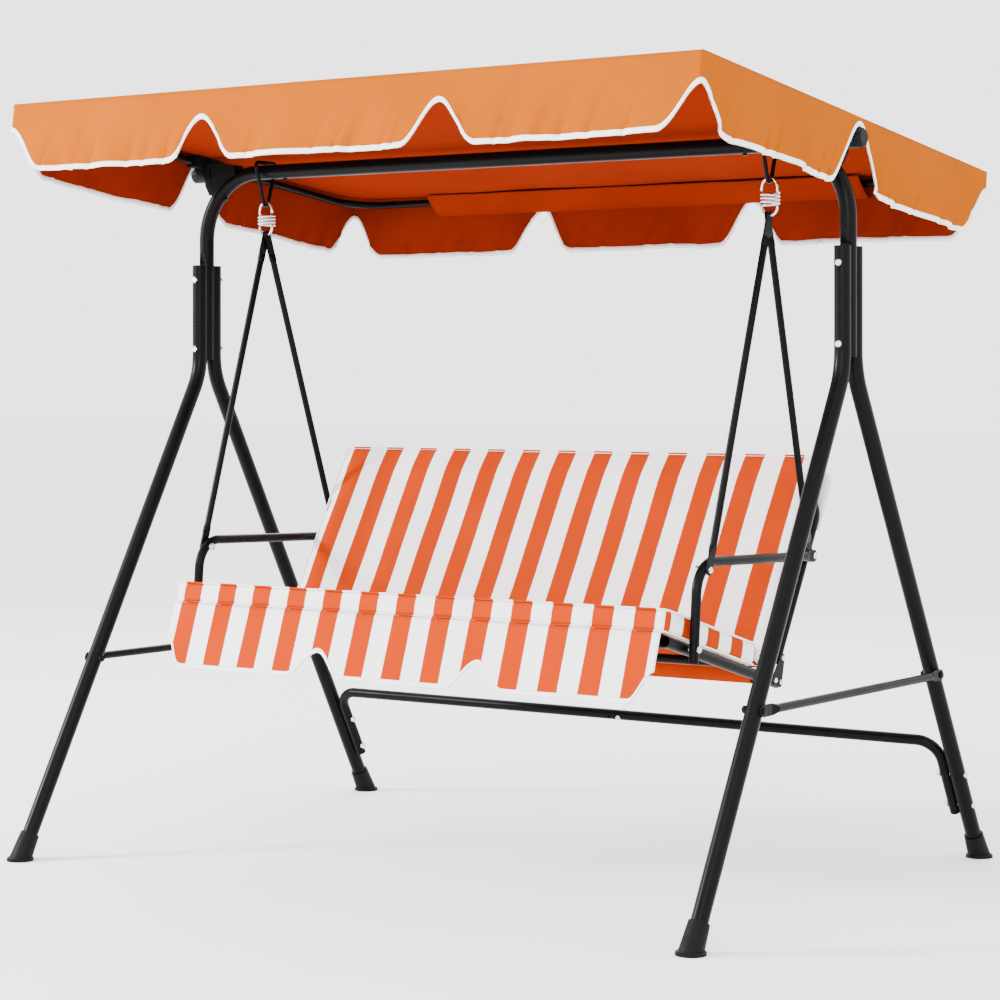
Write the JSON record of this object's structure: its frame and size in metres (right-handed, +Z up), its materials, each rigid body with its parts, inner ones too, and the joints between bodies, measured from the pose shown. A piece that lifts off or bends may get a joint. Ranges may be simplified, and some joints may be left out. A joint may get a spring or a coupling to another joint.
{
  "type": "canopy swing bench",
  "caption": "Tubular steel garden swing bench hung on springs from an A-frame stand, with striped cushions and a tilting fabric canopy.",
  "frame": {"origin": "on the floor at the middle of the stand", "axes": "+X along the bench towards its right-hand end seen from the front, -Y towards the front, +Z up"},
  "size_m": [1.6532, 1.207, 1.5411],
  "materials": {
    "black_frame": "satin",
    "black_plastic": "matt",
    "zinc_bolts": "zinc plated",
    "steel_bolts": "plain",
    "black_bolts": "satin",
    "spring_steel": "bright zinc",
    "canopy_cloth": "woven polyester, orange",
    "striped_cloth": "woven, orange and white stripes",
    "white_cloth": "woven, white",
    "sling_cloth": "woven, orange"
  },
  "bodies": {
    "stand": {"front_leg_left": "black_frame", "front_leg_right": "black_frame", "rear_leg_left": "black_frame", "rear_leg_right": "black_frame", "foot_cap_front_left": "black_plastic", "foot_cap_front_right": "black_plastic", "foot_cap_rear_left": "black_plastic", "foot_cap_rear_right": "black_plastic", "arch_left": "black_frame", "arch_right": "black_frame", "beam": "black_frame", "side_brace_left": "black_frame", "side_brace_right": "black_frame", "rear_brace_left": "black_frame", "rear_brace_right": "black_frame", "leg_bolts": "zinc_bolts", "side_brace_bolts": "black_bolts", "rear_brace_bolts": "zinc_bolts", "frame_screws": "black_bolts", "beam_loop_left": "black_frame", "beam_loop_right": "black_frame", "canopy_seat_left": "black_plastic", "canopy_seat_right": "black_plastic", "tilt_bolts": "steel_bolts"},
    "canopy": {"tilt_knuckle_left": "black_plastic", "tilt_knuckle_right": "black_plastic", "canopy_front_tube": "black_frame", "canopy_rear_tube": "black_frame", "canopy_fabric": "canopy_cloth", "canopy_pockets": "canopy_cloth"},
    "tilt_knob_left": {"tilt_knob_left": "black_plastic"},
    "tilt_knob_right": {"tilt_knob_right": "black_plastic"},
    "suspension": {"spring_top_hooks": "spring_steel", "spring_coils": "spring_steel"},
    "spring_feet": {"spring_bottom_hooks": "spring_steel"},
    "bench": {"hanger_front_left": "black_frame", "hanger_front_right": "black_frame", "hanger_rear_left": "black_frame", "hanger_rear_right": "black_frame", "arm_left": "black_frame", "arm_right": "black_frame", "seat_side_left": "black_frame", "seat_side_right": "black_frame", "seat_front_tube": "black_frame", "seat_mid_tube": "black_frame", "seat_rear_tube": "black_frame", "back_tube_left": "black_frame", "back_tube_right": "black_frame", "back_lower_tube": "black_frame", "corner_plates": "black_frame", "bench_bolts": "zinc_bolts", "plate_bolts": "zinc_bolts", "seat_sling": "sling_cloth", "back_sling": "sling_cloth", "seat_cushion": "striped_cloth", "seat_skirt": "striped_cloth", "back_cushion": "striped_cloth", "back_pocket": "white_cloth"}
  },
  "joints": [
    {"name": "canopy_tilt", "type": "hinge", "parent": "stand", "child": "canopy", "pos_m": [0, 0, 1.432], "axis": [1, 0, 0], "range_deg": [-15, 25]},
    {"name": "tilt_knob_left_turn", "type": "hinge", "parent": "stand", "child": "tilt_knob_left", "pos_m": [-0.819, 0, 1.432], "axis": [1, 0, 0], "continuous": true},
    {"name": "tilt_knob_right_turn", "type": "hinge", "parent": "stand", "child": "tilt_knob_right", "pos_m": [0.819, 0, 1.432], "axis": [1, 0, 0], "continuous": true},
    {"name": "bench_swing", "type": "hinge", "parent": "stand", "child": "suspension", "pos_m": [0, 0, 1.3657], "axis": [1, 0, 0], "range_deg": [-18, 18]},
    {"name": "spring_stretch", "type": "slide", "parent": "suspension", "child": "spring_feet", "axis": [0, 0, -1], "range_m": [0, 0.02], "stiffness_N_per_m": 78000, "springref_m": -0.006, "deforming": ["spring_coils"]},
    {"name": "bench_rock", "type": "hinge", "parent": "spring_feet", "child": "bench", "pos_m": [0, 0, 1.2925], "axis": [1, 0, 0], "range_deg": [-10, 10]}
  ]
}
